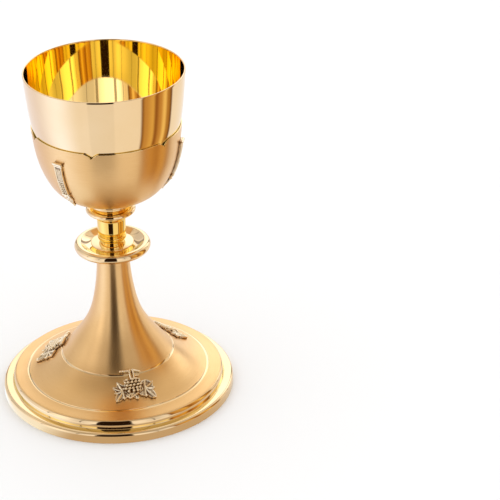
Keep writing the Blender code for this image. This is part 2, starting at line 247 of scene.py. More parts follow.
def make_object(name, source, materials):
    """An object from a bmesh: normals out, smooth with sharp corners."""
    bmesh.ops.recalc_face_normals(source, faces=source.faces)
    mesh = bpy.data.meshes.new(name)
    source.to_mesh(mesh)
    source.free()
    for material in materials:
        mesh.materials.append(MATERIALS[material])
    mesh.shade_smooth()
    mesh.set_sharp_from_angle(angle=math.radians(SHARP_ANGLE))
    return link(name, mesh)


def stand_for(piece, node):
    """The piece is shown in a CAD node's place and rides on that node's body."""
    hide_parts(node)
    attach(piece, BODY_OF[node])
    return piece


def around(count, start=0.0):
    """Azimuths at even steps all round."""
    return start + np.arange(count) * 360.0 / count


def skin(name, radii, heights, azimuths, slots, materials):
    """A closed skin from radii and heights: a row to each outline point, a column to each azimuth.

    The outline closes on itself, unless its first row lies on the axis. Row i's faces take slots[i]."""
    rows, columns = radii.shape
    angles = np.radians(azimuths)
    places = np.dstack([radii * np.sin(angles), -radii * np.cos(angles), heights]) * MM
    source = bmesh.new()
    grid = [[source.verts.new(place) for place in row] for row in places]
    closed = radii[0].max() > 1e-6
    for i in range(rows if closed else rows - 1):
        lower = grid[i]
        upper = grid[(i + 1) % rows]
        for j in range(columns):
            after = (j + 1) % columns
            face = source.faces.new((lower[j], lower[after], upper[after], upper[j]))
            face.material_index = slots[i]
    bmesh.ops.remove_doubles(source, verts=source.verts, dist=1e-8)
    return make_object(name, source, materials)


def joined(runs):
    """One outline and its material slots, from runs of (points, material number)."""
    points = np.vstack([np.array(run, float) for run, _ in runs])
    slots = np.concatenate([np.full(len(run), slot) for run, slot in runs])
    far = np.linalg.norm(np.diff(points, axis=0), axis=1) > 1e-4
    keep = np.concatenate([[True], far])
    return points[keep], slots[keep]


def lathe(name, runs, materials, azimuths=None):
    """A turned piece: its runs of (points, material number) make one outline, spun about the axis."""
    points, slots = joined(runs)
    azimuths = around(FINE) if azimuths is None else azimuths
    radii = np.repeat(points[:, :1], len(azimuths), axis=1)
    heights = np.repeat(points[:, 1:], len(azimuths), axis=1)
    return skin(name, radii, heights, azimuths, slots, materials)


def turned(name, node, outline, material="polished", slot="polished_gold", azimuths=None):
    """A turned piece of one material, in the place of its node."""
    return stand_for(lathe(name, [(outline, 0)], [material], azimuths), node)


def rounded(corners, size, steps=4):
    """The corners of an outline with each one rounded by a small fillet of about this size."""
    points = []
    corners = [np.array(c, float) for c in corners]
    for i, corner in enumerate(corners):
        before = corners[i - 1] - corner
        after = corners[(i + 1) % len(corners)] - corner
        cut = min(size, 0.45 * np.linalg.norm(before), 0.45 * np.linalg.norm(after))
        start = corner + before / np.linalg.norm(before) * cut
        end = corner + after / np.linalg.norm(after) * cut
        for t in np.linspace(0, 1, steps + 1):
            points.append((1 - t) ** 2 * start + 2 * t * (1 - t) * corner + t**2 * end)
    return np.array(points)


# ---------------- the cup


def make_bowl():
    """Polished outside, gilded inside, with a rounded rim."""
    radius, _, top = size_of("cup_bowl")
    outer = bowl_line()
    inner = offset(outer, -BOWL_WALL)
    inner[0, 0] = 0.0
    rim = arc(radius - BOWL_WALL / 2, top - BOWL_WALL / 2, BOWL_WALL / 2, 0, 180, 10)
    runs = [(outer[:-1], 0), (rim, 0), (inner[::-1][1:], 1)]
    bowl = lathe("gilded_bowl", runs, ["polished", "gilt"])
    return stand_for(bowl, "cup_bowl")


def notch_azimuths():
    """Azimuths all round, closer together across each notch."""
    fine = np.arange(-NOTCH_REACH, NOTCH_REACH, 0.5)
    coarse = np.linspace(NOTCH_REACH, NOTCH_PITCH - NOTCH_REACH, 24, endpoint=False)
    one = np.concatenate([fine, coarse])
    return np.concatenate([NOTCH_AZIMUTH + k * NOTCH_PITCH + one for k in range(NOTCHES)])


def notch_depth(azimuths, radius):
    """How far the sleeve's edge dips at each azimuth: an ogee that falls to a sharp point."""
    half = NOTCH_PITCH / 2
    away = np.abs((azimuths - NOTCH_AZIMUTH + half) % NOTCH_PITCH - half)
    share = np.clip(np.radians(away) * radius / NOTCH_HALF_WIDTH, 0.0, 1.0)
    return NOTCH_DEPTH * (1.0 - share) ** NOTCH_POWER


def make_sleeve():
    """The satin sleeve: its top edge stands a little proud of the bowl, and dips at six pointed notches."""
    outer = sleeve_line()
    inner = offset(outer, -SLEEVE_WALL)
    edge_round = 0.25
    lip = rounded([outer[-2], outer[-1], inner[-1], inner[-2]], edge_round)[5:15]
    hole = [(outer[0, 0], outer[0, 1]), (inner[0, 0], inner[0, 1])]
    points, slots = joined([(outer[:-1], 0), (lip, 1), (inner[:-1][::-1], 2), (hole[::-1][:1], 2)])
    azimuths = notch_azimuths()
    top = outer[-1, 1]
    zone = 3 * NOTCH_DEPTH
    share = np.clip((points[:, 1] - (top - zone)) / zone, 0.0, 1.0) ** 1.5
    drop = share[:, None] * notch_depth(azimuths, outer[-1, 0])[None, :]
    heights = points[:, 1:] - drop
    lowered = np.interp(heights, outer[:, 1], outer[:, 0])
    radii = points[:, :1] + (lowered - np.interp(points[:, 1:], outer[:, 1], outer[:, 0]))
    sleeve = skin("satin_sleeve", radii, heights, azimuths, slots, ["satin", "polished", "spun"])
    return stand_for(sleeve, "cup_sleeve")


def make_boss():
    """The cup's foot: a stepped flange, gilded outside, with the rod's thread bored from below."""
    radius, bottom, top = size_of("cup_boss")
    shoulder = bottom + BOSS_DRUM
    flange = shoulder - BOSS_STEP
    step = flange - BOSS_STEP
    first = radius - BOSS_FIRST_INSET
    second = radius - BOSS_SECOND_INSET
    rod_end = size_of("tie_rod")[2] + 0.3
    spigot = [(0.0, top), (BOSS_SPIGOT, top), (BOSS_SPIGOT, shoulder)]
    corners = [(BOSS_SPIGOT, shoulder), (radius, shoulder), (radius, flange), (first, flange - 0.3)]
    corners += [(first, step), (second, step - 0.3), (second, bottom + 1.1), (BOSS_FACE, bottom)]
    side = rounded(corners + [(ROD_HOLE, bottom)], 0.35)[5:-5]
    mouth = [(ROD_HOLE + HOLE_CHAMFER, bottom), (ROD_HOLE, bottom + HOLE_CHAMFER)]
    bore = mouth + [(ROD_HOLE, rod_end), (0.0, rod_end)]
    runs = [(spigot, 0), (side, 1), (bore, 0)]
    boss = lathe("threaded_boss", runs, ["turned_brass", "polished"])
    return stand_for(boss, "cup_boss")


def section_of(node):
    """The corners of a plain ring round the rod, from the hole's lower edge outwards."""
    radius, bottom, top = size_of(node)
    return [(ROD_HOLE, bottom), (radius, bottom), (radius, top), (ROD_HOLE, top)]


def make_plain_ring(name, node, edge, material, slot):
    """A washer or bush: a ring with its edges rounded."""
    return turned(name, node, rounded(section_of(node), edge), material, slot, around(COARSE))


# ---------------- the turned stack


def make_collar():
    """A dished flange with a round bead for its edge, above a hollow flare that runs down to the neck."""
    radius, bottom, top = size_of("collar")
    bead = 1.35
    floor = bottom + 3.4
    inner = 8.6
    neck = size_of("neck")[0] + 0.2
    dish = [(ROD_HOLE, floor), (inner - 0.4, floor), (inner + 0.3, floor + 0.15)]
    edge = arc(radius - bead, top - bead, bead, 190, -85, 40)
    middle = [(11.5, bottom + 3.3), (10.2, bottom + 2.0), (9.2, bottom + 0.9)]
    flare = spline([edge[-1], *middle, (neck, bottom)], 24)
    return turned("dished_collar", "collar", np.vstack([dish, edge[:-1], flare, [(ROD_HOLE, bottom)]]))


def make_neck():
    """A plain drum; its lower edge is rounded in."""
    radius, bottom, top = size_of("neck")
    inset = 1.3
    start = bottom + 3.0
    crown = [(ROD_HOLE, top + SEAT), (radius - 0.1, top + SEAT), (radius, top)]
    foot = arc(radius - inset, start, inset, -12, -90, 14, squash=(start - bottom) / inset)
    outline = np.vstack([crown, [(radius, start)], foot, [(ROD_HOLE, bottom)]])
    return turned("plain_neck", "neck", outline, "deep_polished")


def make_bead():
    """A little bowl-shaped bead, widest near its top."""
    radius, bottom, top = size_of("neck_bead")
    round_lip = 0.6
    lip = arc(radius - round_lip, top - round_lip, round_lip, 90, 0, 10)
    belly = [(radius - 0.05, top - 1.4), (radius - 0.5, top - 2.6)]
    side = [(radius, top - round_lip), *belly, (radius - 1.3, bottom)]
    hub = [(ROD_HOLE, top + SEAT), (radius - 1.4, top + SEAT), (radius - 1.4, top)]
    outline = np.vstack([hub, lip, spline(side, 16)[1:], [(ROD_HOLE, bottom)]])
    return turned("neck_bead_turned", "neck_bead", outline, "deep_polished")


def make_ring():
    """A flared disc with a thin round edge, on a hollow-sided foot."""
    radius, bottom, top = size_of("neck_ring")
    edge_size = 0.45
    foot_radius = 8.4
    edge = arc(radius - edge_size, top - 1.25, edge_size, 80, -100, 20)
    hub = [(ROD_HOLE, top + SEAT), (6.9, top + SEAT), (6.9, top), (7.3, top)]
    foot = spline([edge[-1], (10.0, bottom + 1.7), (8.9, bottom + 1.0), (foot_radius, bottom)], 20)
    seat = [(foot_radius, bottom - SEAT), (ROD_HOLE, bottom - SEAT)]
    return turned("neck_ring_turned", "neck_ring", np.vstack([hub, edge[:-1], foot, seat]))


def make_knop():
    """A saucer that rises gently to a thick round lip."""
    radius, bottom, top = size_of("node")
    tube = 2.6
    floor = bottom + 3.3
    lip = arc(radius - tube, top - tube, tube, 118, -95, 40)
    saucer = spline([(9.0, floor), (13.2, floor + 0.7), (16.0, floor + 2.2), lip[0]], 30)[:-1]
    stem = 9.2
    seat = [(10.8, bottom), (stem, bottom), (stem, bottom - SEAT), (ROD_HOLE, bottom - SEAT)]
    return turned("knop_dish", "node", np.vstack([[(ROD_HOLE, floor)], saucer, lip, seat]))


# ---------------- stem and foot


def with_scribed_rings(line):
    """The trumpet's outline as runs, with a shallow polished groove at each scribed ring."""
    runs = []
    start = 0
    facing = normals(line)
    for radius in SCRIBED_RINGS:
        near = np.where(np.abs(line[:, 0] - radius) < 3.0)[0]
        lengths = lengths_along(line[near])
        middle = np.interp(radius, line[near, 0], lengths)
        half = SCRIBED_WIDTH / 2
        at = middle + np.array([-half, -half + 0.12, -half / 2, 0.0, half / 2, half - 0.12, half])
        depth = SCRIBED_DEPTH * np.array([0.0, 0.75, 0.95, 1.0, 0.95, 0.75, 0.0])
        groove = np.column_stack([np.interp(at, lengths, line[near, k]) for k in (0, 1)])
        inward = np.column_stack([np.interp(at, lengths, facing[near, k]) for k in (0, 1)])
        groove = groove + inward * depth[:, None]
        before = line[start : near[0] + np.searchsorted(lengths, middle - half - 0.1)]
        start = near[0] + np.searchsorted(lengths, middle + half + 0.1)
        runs.append((before, 0))
        runs.append((groove[:-1], 1))
        runs.append((groove[-1:], 0))
    return runs + [(line[start:], 0)]


def rim_runs(radius, bottom, last):
    """The polished moulding from the satin's edge to the hem: quarter-round, shelf, rounded wall."""
    ring = last[0]
    step = arc(ring, SHELF_HEIGHT, STEP_REACH, 74, 0, 18, squash=(last[1] - SHELF_HEIGHT) / STEP_REACH)
    cove = arc(ring + STEP_REACH + 0.35, SHELF_HEIGHT + 0.35, 0.35, 180, 270, 6)
    corner = arc(radius - 0.1 - EDGE_ROUND, SHELF_HEIGHT - EDGE_ROUND, EDGE_ROUND, 90, 0, 18)
    wall = [(radius, bottom + 0.7), (radius - 0.15, bottom + 0.25), (radius - 0.6, bottom)]
    turned_in = radius - HEM_REACH
    hem_top = bottom + HEM_THICKNESS
    hem = rounded([(radius - 0.6, bottom), (turned_in, bottom), (turned_in, hem_top)], 0.3)[5:10]
    inside = radius - SHELL_WALL
    under = SHELF_HEIGHT - SHELL_WALL
    hollow = [(inside, hem_top), (inside, 3.9), (inside - 0.5, under - 0.35), (inside - 1.4, under)]
    hollow += [(ring + 1.1, under), (ring + 0.7, under + 3.1)]
    return [(step[:-1], 1), (cove, 1), (corner, 1), (wall, 1), (hem, 1), (hollow, 2)]


def make_stem_foot():
    """One spun trumpet: satin outside with two scribed rings, a polished rim, raw spinning inside."""
    radius, bottom, top = size_of("stem_foot")
    line = trumpet_line()
    inside = offset(line[::-1], -SHELL_WALL)[2:]
    inside[-1, 1] = top
    runs = with_scribed_rings(line) + rim_runs(radius, bottom, line[-1]) + [(inside, 2)]
    foot = lathe("trumpet_foot", runs, ["satin_foot", "polished", "spun"])
    return stand_for(foot, "stem_foot")


# ---------------- fastening inside the stem


def make_rod():
    """The tie rod, with its thread cut as a true helix and both ends chamfered."""
    radius, bottom, top = size_of("tie_rod")
    azimuths = around(48)
    heights = np.arange(bottom, top + 1e-6, PITCH / 10)
    heights[-1] = top
    phase = (heights[:, None] / PITCH - azimuths[None, :] / 360.0) % 1.0
    groove = np.clip(1.25 - 2.5 * np.abs(phase - 0.5), 0.0, 1.0)
    near_end = np.minimum(heights - bottom, top - heights)[:, None]
    chamfer = np.clip(ROD_CHAMFER - near_end, 0.0, ROD_CHAMFER)
    radii = np.minimum(radius - THREAD_DEPTH * (1.0 - groove), radius - chamfer)
    flat = np.zeros((1, len(azimuths)))
    radii = np.vstack([flat, radii, flat])
    levels = np.repeat(np.concatenate([[bottom], heights, [top]])[:, None], len(azimuths), axis=1)
    rod = skin("threaded_rod", radii, levels, azimuths, np.zeros(len(radii), int), ["turned_brass"])
    return stand_for(rod, "tie_rod")


def make_spring_washer():
    """A split ring of square wire with rounded corners; its two ends stand a little apart."""
    section = rounded(section_of("spring_washer"), 0.3, steps=3)
    angles = np.radians(np.linspace(SPLIT / 2, 360.0 - SPLIT / 2, 90))
    source = bmesh.new()
    rings = []
    for a in angles:
        places = [Vector((r * math.sin(a), -r * math.cos(a), z)) * MM for r, z in section]
        rings.append([source.verts.new(place) for place in places])
    count = len(section)
    for near, far in zip(rings, rings[1:]):
        for i in range(count):
            source.faces.new((near[i], near[(i + 1) % count], far[(i + 1) % count], far[i]))
    source.faces.new(rings[0])
    source.faces.new(rings[-1])
    piece = make_object("split_washer", source, ["zinc"])
    return stand_for(piece, "spring_washer")


def make_nut():
    """A hexagon nut with its corners chamfered on both faces."""
    low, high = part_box("stem_nut")
    flats = (high.y - low.y) / MM / 2
    bottom, top = low.z / MM, high.z / MM
    azimuths = around(COARSE, 30.0)
    across = flats / np.cos(np.radians((azimuths + 30.0) % 60.0 - 30.0))
    circle = flats * NUT_FACE
    drop = np.clip(across - circle, 0.0, None) * math.tan(math.radians(NUT_CHAMFER))
    ones = np.ones(len(azimuths))
    bore = ROD_HOLE * ones
    mouth = bore + HOLE_CHAMFER
    ring = circle * ones
    low_face = bottom * ones
    high_face = top * ones
    radii = [bore, mouth, ring, across, across, ring, mouth, bore]
    heights = [(bottom + HOLE_CHAMFER) * ones, low_face, low_face, bottom + drop]
    heights += [top - drop, high_face, high_face, (top - HOLE_CHAMFER) * ones]
    slots = np.zeros(len(radii), int)
    nut = skin("hexagon_nut", np.array(radii), np.array(heights), azimuths, slots, ["zinc"])
    return stand_for(nut, "stem_nut")


# ---------------- castings


class Wax:
    """A flat pattern for a casting, in millimetres: x across, y down the surface, z above it."""

    def __init__(self):
        self.points = []
        self.faces = []
        self.count = 0
        source = bmesh.new()
        bmesh.ops.create_icosphere(source, subdivisions=3, radius=1.0)
        self.sphere = np.array([v.co for v in source.verts])
        self.sphere_faces = np.array([[v.index for v in f.verts] for f in source.faces])
        source.free()

    def shape(self, points, faces):
        """Adds one closed shape."""
        self.points.append(np.array(points, float))
        self.faces += [[corner + self.count for corner in face] for face in faces]
        self.count += len(points)

    def ball(self, x, y, z, size, stretch=(1.0, 1.0, 1.0)):
        self.shape(self.sphere * size * np.array(stretch) + (x, y, z), self.sphere_faces.tolist())

    def bar(self, start, end, first, last=None, squash=1.0):
        """A tapered round bar with round ends; squash flattens it towards the surface."""
        last = first if last is None else last
        start, end = Vector(start), Vector(end)
        steps = max(int((end - start).length / (0.45 * max(first, last))), 1)
        for i in range(steps + 1):
            at = start.lerp(end, i / steps)
            size = first + (last - first) * i / steps
            self.ball(at.x, at.y, at.z, size, (1.0, 1.0, squash))

    def curl(self, x, y, size, wire, turns, start, side, height):
        """A volute: a bar wound inwards, rising towards its eye."""
        steps = int(16 * turns)
        for i in range(steps + 1):
            t = i / steps
            angle = start + side * 2 * math.pi * turns * t
            reach = size * (1.0 - 0.75 * t)
            at_x = x + reach * math.cos(angle)
            at_y = y + reach * math.sin(angle)
            self.ball(at_x, at_y, height + 0.4 * t, wire * (1.0 - 0.2 * t))
        self.ball(x, y, height + 0.5, wire * 1.15)

    def slab(self, corners, top):
        """A flat plate with the given outline, from the casting's back up to top."""
        count = len(corners)
        low = [(x, y, CAST_BACK) for x, y in corners]
        high = [(x, y, top) for x, y in corners]
        sides = [(i, (i + 1) % count, (i + 1) % count + count, i + count) for i in range(count)]
        self.shape(low + high, [list(range(count)), list(range(count, 2 * count))[::-1]] + sides)

    def leaf(self, x, y, lobes, rise=1.0):
        """A vine leaf about (x, y): a raised rib to each lobe's tip, a rolled edge, hollows between them.

        Each lobe is (heading, length), with headings in degrees from across towards down."""
        headings, lengths = np.array(lobes, float).T[:, :, None]
        angles = np.arange(LEAF_COLUMNS) * 360.0 / LEAF_COLUMNS
        away = np.abs((angles - headings + 180.0) % 360.0 - 180.0)
        notch = LOBE_NOTCH * np.minimum(away / LOBE_HALF_WIDTH, 1.0) ** 1.2
        outline = (lengths * (1.0 - notch)).max(axis=0)
        outline *= 1.0 + 0.06 * np.abs(np.sin(np.radians(angles * 9.0)))
        radius = np.linspace(0.0, 1.0, LEAF_ROWS + 1)[1:, None] * outline
        from_rib = radius[:, None, :] * np.sin(np.radians(np.minimum(away, 90.0)))
        rib = np.exp(-((from_rib / RIB_WIDTH) ** 2)).max(axis=1)
        rolled = np.exp(-(((outline - radius) / RIB_WIDTH) ** 2))
        height = rise * (0.58 + 0.42 * np.maximum(rib, rolled))
        turn = np.radians(angles)
        top = np.dstack([x + radius * np.cos(turn), y + radius * np.sin(turn), height]).reshape(-1, 3)
        edge = top[-LEAF_COLUMNS:] * (1, 1, 0) + (0, 0, CAST_BACK)
        points = np.vstack([top, edge, [(x, y, rise), (x, y, CAST_BACK)]])
        centre = len(points) - 2
        last = LEAF_ROWS * LEAF_COLUMNS
        faces = []
        for j in range(LEAF_COLUMNS):
            after = (j + 1) % LEAF_COLUMNS
            faces.append((centre, after, j))
            faces.append((centre + 1, last + j, last + after))
            for i in range(LEAF_ROWS):
                row, below = i * LEAF_COLUMNS, (i + 1) * LEAF_COLUMNS
                faces.append((row + j, row + after, below + after, below + j))
        self.shape(points, faces)

    def cast(self, across=1.0, down=1.0, rise=1.0):
        """The pattern as one body, stretched three ways: its points, its faces, and each point's hollow,
        which sets its painted shade.
        """
        points = np.vstack(self.points) * (across, down, 1.0)
        points[:, 2] *= np.where(points[:, 2] > 0, rise, 1.0)
        mesh = bpy.data.meshes.new("pattern")
        mesh.from_pydata(points.tolist(), [], self.faces)
        helper = link("pattern", mesh)
        merge = helper.modifiers.new("merge", "REMESH")
        merge.mode = "VOXEL"
        merge.voxel_size = CAST_VOXEL
        ease = helper.modifiers.new("ease", "SMOOTH")
        ease.factor = 0.5
        ease.iterations = 2
        bpy.context.view_layer.update()
        graph = bpy.context.evaluated_depsgraph_get()
        made = bpy.data.meshes.new_from_object(helper.evaluated_get(graph))
        points = np.empty(len(made.vertices) * 3)
        made.vertices.foreach_get("co", points)
        points = points.reshape(-1, 3)
        faces = [tuple(polygon.vertices) for polygon in made.polygons]
        edges = np.empty(len(made.edges) * 2, int)
        made.edges.foreach_get("vertices", edges)
        bpy.data.objects.remove(helper)
        return points, faces, hollows(points, edges.reshape(-1, 2))


def hollows(points, edges):
    """How far each point lies below the average height around it: 0 on the crests, 1 in the hollows. The
    castings' painted shade follows it.
    """
    level = points[:, 2].copy()
    ends = np.concatenate([edges, edges[:, ::-1]])
    count = np.bincount(ends[:, 0], minlength=len(points))
    rounds = 40
    for _ in range(rounds):
        level = np.bincount(ends[:, 0], weights=level[ends[:, 1]], minlength=len(points)) / count
    return np.clip(0.35 + (level - points[:, 2]) / 0.55, 0.0, 1.0)


def surface_map(line, start):
    """A function that lays flat casting points on a turned surface, from start along its outline."""
    facing = -normals(line)
    steps = lengths_along(line)

    def lay(points, azimuth):
        down = points[:, 1] + start
        at_r = np.interp(down, steps, line[:, 0])
        at_z = np.interp(down, steps, line[:, 1])
        normal_r = np.interp(down, steps, facing[:, 0])
        normal_z = np.interp(down, steps, facing[:, 1])
        angle = math.radians(azimuth) + points[:, 0] / at_r
        radius = at_r + normal_r * points[:, 2]
        height = at_z + normal_z * points[:, 2]
        return np.column_stack([radius * np.sin(angle), -radius * np.cos(angle), height]) * MM

    return lay


def lay_casting(name, node, casting, lay, azimuth):
    """A copy of the casting on its seat; the hollow attribute says where painted shade darkens it."""
    points, faces, hollow = casting
    mesh = bpy.data.meshes.new(name)
    mesh.from_pydata(lay(points, azimuth).tolist(), [], faces)
    mesh.materials.append(MATERIALS["cast"])
    mesh.attributes.new("hollow", "FLOAT", "POINT").data.foreach_set("value", hollow.astype(np.float32))
    mesh.shade_smooth()
    source = bmesh.new()
    source.from_mesh(mesh)
    bmesh.ops.recalc_face_normals(source, faces=source.faces)
    source.to_mesh(mesh)
    source.free()
    return stand_for(link(name, mesh), node)


def console_pattern():
    """A moulded cap bar, a fluted shaft with beads on its lower half, and a leaf drop with two volutes."""
    wax = Wax()
    wax.slab([(-3.7, 0.2), (3.7, 0.2), (3.7, 2.6), (-3.7, 2.6)], 1.1)
    wax.bar((-3.6, 0.7, 1.25), (3.6, 0.7, 1.25), 0.75)
    wax.bar((-3.3, 2.4, 0.9), (3.3, 2.4, 0.9), 0.5, squash=1.2)
    wax.slab([(-3.1, 2.4), (3.1, 2.4), (2.6, 24.2), (-2.6, 24.2)], 0.9)
    for side in (-1, 1):
        wax.bar((side * 2.8, 3.2, 0.95), (side * 2.3, 23.8, 0.95), 0.42, squash=1.4)
    for lane in (-1.3, 0.0, 1.3):
        wax.bar((lane, 4.6, 0.9), (lane * 0.92, 12.4, 0.9), 0.42, squash=1.3)
    wax.bar((-2.2, 13.5, 0.95), (2.2, 13.5, 0.95), 0.38, squash=1.2)
    for row in range(5):
        for side in (-1, 1):
            wax.ball(side * 0.9, 14.9 + 1.75 * row, 1.0, 0.74)
    wax.bar((-2.8, 24.2, 0.95), (2.8, 24.2, 0.95), 0.65, squash=1.3)
    for side in (-1, 1):
        start = math.pi if side > 0 else 0.0
        wax.curl(side * 1.7, 26.9, 1.3, 0.45, 1.4, start, side, 0.75)
        wax.bar((side * 0.9, 29.3, 0.7), (side * 2.1, 31.0, 0.7), 0.55, 0.30)
        wax.bar((side * 0.5, 31.4, 0.6), (side * 1.4, 33.2, 0.6), 0.48, 0.26)
    wax.ball(0.0, 25.8, 0.95, 0.65)
    wax.leaf(0.0, 29.0, ((90.0, 6.0), (45.0, 2.4), (135.0, 2.4), (0.0, 1.7), (180.0, 1.7)))
    wax.slab([(-2.2, 24.6), (2.2, 24.6), (1.2, 31.0), (0.5, 36.6), (-0.5, 36.6), (-1.2, 31.0)], 0.5)
    wax.bar((0.0, 27.2, 0.8), (0.0, 35.6, 0.5), 0.5, 0.32)
    wax.ball(0.0, 36.0, 0.5, 0.85)
    return wax.cast(*CONSOLE_SCALE)


def vine_pattern():
    """A vine spray: a knotted twig, two hanging stalks, a bunch of grapes, three leaves and a tendril."""
    wax = Wax()
    wax.bar((-4.6, 0.5, 0.7), (0.2, 0.3, 0.9), 0.62, 0.8)
    for knot in (-4.4, -2.9, -1.0):
        wax.ball(knot, 0.3, 0.95, 0.85)
    wax.bar((2.6, 0.2, 0.8), (6.2, 1.5, 0.7), 0.75, 0.55)
    wax.bar((2.6, 3.4, 0.7), (5.4, 3.7, 0.5), 0.65, 0.45)
    stalks = (((0.7, -0.3), (0.3, 2.4), (0.6, 5.4)), ((2.1, -0.2), (2.5, 2.4), (2.2, 5.4)))
    for high, middle, low in stalks:
        wax.bar((*high, 0.9), (*middle, 1.1), 0.62)
        wax.bar((*middle, 1.1), (*low, 0.9), 0.62)
    rows = (
        (5.6, (-1.9, 1.4, 3.4)),
        (7.4, (-3.0, -1.3, 0.7, 2.8, 4.9)),
        (9.3, (-2.2, -0.3, 1.7, 3.8, 5.6)),
        (11.2, (-3.2, -1.2, 0.8, 2.9, 4.8)),
        (13.0, (-2.0, 0.9, 3.1)),
    )
    for down, places in rows:
        for place in places:
            wax.ball(place, down, 1.0, 0.92)
    wax.slab([(-3.6, 5.4), (5.6, 5.4), (6.4, 12.6), (2.6, 15.0), (-1.6, 15.0), (-4.2, 12.6)], 0.75)
    wax.leaf(-5.2, 12.4, ((204.0, 5.9), (168.0, 4.9), (127.0, 7.9), (92.0, 5.2), (248.0, 6.2)))
    wax.leaf(7.6, 12.2, ((-26.0, 6.0), (16.0, 6.0), (56.0, 9.2), (92.0, 5.6), (-82.0, 5.2)))
    wax.leaf(0.2, 14.0, ((124.0, 4.2), (60.0, 5.0), (172.0, 3.6), (8.0, 3.4)), rise=0.9)
    wax.bar((-1.9, 17.2, 0.8), (2.9, 14.7, 1.0), 0.55, 0.5)
    wax.bar((-1.9, 17.2, 0.8), (-3.7, 15.6, 0.9), 0.5, 0.45)
    for across, down in RIVETS:
        wax.bar((across, down, -1.9), (across, down, 0.4), 0.8)
        wax.ball(across, down, -1.9, 1.45, (1.0, 1.0, 0.45))
    return wax.cast(*VINE_SCALE)


def make_consoles():
    line = sleeve_line()[::-1]
    lay = surface_map(line, np.interp(-CONSOLE_TOP, -line[:, 1], lengths_along(line)))
    casting = console_pattern()
    for side, azimuth in CONSOLES.items():
        lay_casting("console_" + side, "cup_ornament_" + side, casting, lay, azimuth)


def make_vines():
    line = trumpet_line()
    lay = surface_map(line, np.interp(VINE_TOP_RADIUS, line[:, 0], lengths_along(line)))
    casting = vine_pattern()
    for side, azimuth in VINES.items():
        lay_casting("vine_" + side, "foot_ornament_" + side, casting, lay, azimuth)


# ---------------- materials


class Shader:
    """Adds nodes to one material. An input's value may be a number, a colour or another node's output."""

    def __init__(self, name):
        self.material = bpy.data.materials.new(name)
        self.material.use_nodes = True
        self.tree = self.material.node_tree
        self.surface = self.tree.nodes["Principled BSDF"]

    def add(self, kind, inputs, **settings):
        return add_node(self.tree, kind, inputs, **settings)

    def math(self, operation, *values):
        return first_of(self.tree, "Math", dict(enumerate(values)), operation=operation)

    def set(self, **inputs):
        for name, value in inputs.items():
            feed(self.tree, self.surface.inputs[name.replace("_", " ")], value)

    def noise(self, vector, scale, detail=3.0, roughness=0.5):
        inputs = {"Vector": vector, "Scale": scale, "Detail": detail, "Roughness": roughness}
        return self.add("TexNoise", inputs).outputs["Fac"]

    def spread(self, value, low, high, from_low=0.3, from_high=0.7):
        """The value, taken from one range to another."""
        inputs = {"Value": value, "From Min": from_low, "From Max": from_high}
        inputs.update({"To Min": low, "To Max": high})
        return self.add("MapRange", inputs).outputs[0]

    def blend(self, share, first, second):
        """A mix of two colours, linear in share."""
        return mixed(self.tree, share, first, second)

    def bump(self, height, strength, distance):
        """Relief from a height; the distance is in millimetres."""
        inputs = {"Height": height, "Strength": strength, "Distance": distance * MM}
        self.set(Normal=self.add("Bump", inputs).outputs[0])

    def place(self):
        return self.add("TexCoord", {}).outputs["Object"]

    def turning_marks(self, across, along, slope):
        """A vector whose noise runs in circles about the axis: along is low, across is high.

        slope is 1 where the surface climbs as it widens and -1 where it falls."""
        apart = self.add("SeparateXYZ", {0: self.place()})
        flat = self.add("CombineXYZ", {0: apart.outputs[0], 1: apart.outputs[1]}).outputs[0]
        radius = self.add("VectorMath", {0: flat}, operation="LENGTH").outputs["Value"]
        around_it = self.add("VectorMath", {0: flat}, operation="NORMALIZE").outputs[0]
        climb = self.math("MULTIPLY_ADD", radius, slope, apart.outputs[2])
        turned = self.add("SeparateXYZ", {0: around_it})
        parts = ((turned.outputs[0], along), (turned.outputs[1], along), (climb, across))
        marks = {place: product(self.tree, *part) for place, part in enumerate(parts)}
        return first_of(self.tree, "CombineXYZ", marks)


def feed(tree, socket, value):
    if isinstance(value, bpy.types.NodeSocket):
        tree.links.new(value, socket)
    elif isinstance(value, (tuple, list)) and len(value) == 3 and socket.type == "RGBA":
        socket.default_value = (*value, 1.0)
    else:
        socket.default_value = value


def add_node(tree, kind, inputs, **settings):
    node = tree.nodes.new("ShaderNode" + kind)
    for name, value in settings.items():
        setattr(node, name, value)
    for name, value in inputs.items():
        feed(tree, node.inputs[name], value)
    return node


def first_of(tree, kind, inputs, **settings):
    """The first output of a new node."""
    return add_node(tree, kind, inputs, **settings).outputs[0]


def product(tree, a, b):
    return first_of(tree, "Math", {0: a, 1: b}, operation="MULTIPLY")


def mixed(tree, share, first, second):
    node = add_node(tree, "Mix", {0: share}, data_type="RGBA")
    feed(tree, node.inputs[6], first)
    feed(tree, node.inputs[7], second)
    return node.outputs[2]


# Base colours: each pair is blended by noise, and the mirrored and deep ones show in reflections
PALE_GOLD = (0.90, 0.67, 0.40)
WARM_GOLD = (0.87, 0.62, 0.34)
DEEP_GOLD = (0.96, 0.66, 0.20)
RED_GOLD = (0.94, 0.61, 0.16)
MIRRORED_GOLD = (1.0, 0.84, 0.40)
GILT = (1.0, 0.83, 0.52)
CLOUDED_GILT = (1.0, 0.80, 0.46)
DEEP_GILT = (1.0, 0.84, 0.18)
SATIN = (0.89, 0.57, 0.26)
DULL_SATIN = (0.80, 0.485, 0.195)
CAST_CREST = (1.0, 0.84, 0.60)
# Painted shade: the dark brown laid into the castings' hollows, where shade falls
CAST_PAINTED_SHADE = (0.15, 0.062, 0.018)
SPUN_BRASS = (0.80, 0.55, 0.27)
TARNISH = (0.55, 0.34, 0.14)
CUT_BRASS = (0.85, 0.66, 0.33)
AGED_BRASS = (0.66, 0.47, 0.20)
ZINC = (0.66, 0.67, 0.66)
DULL_ZINC = (0.42, 0.43, 0.42)
FIBRE = (0.36, 0.09, 0.05)
FIBRE_FLECK = (0.22, 0.05, 0.03)


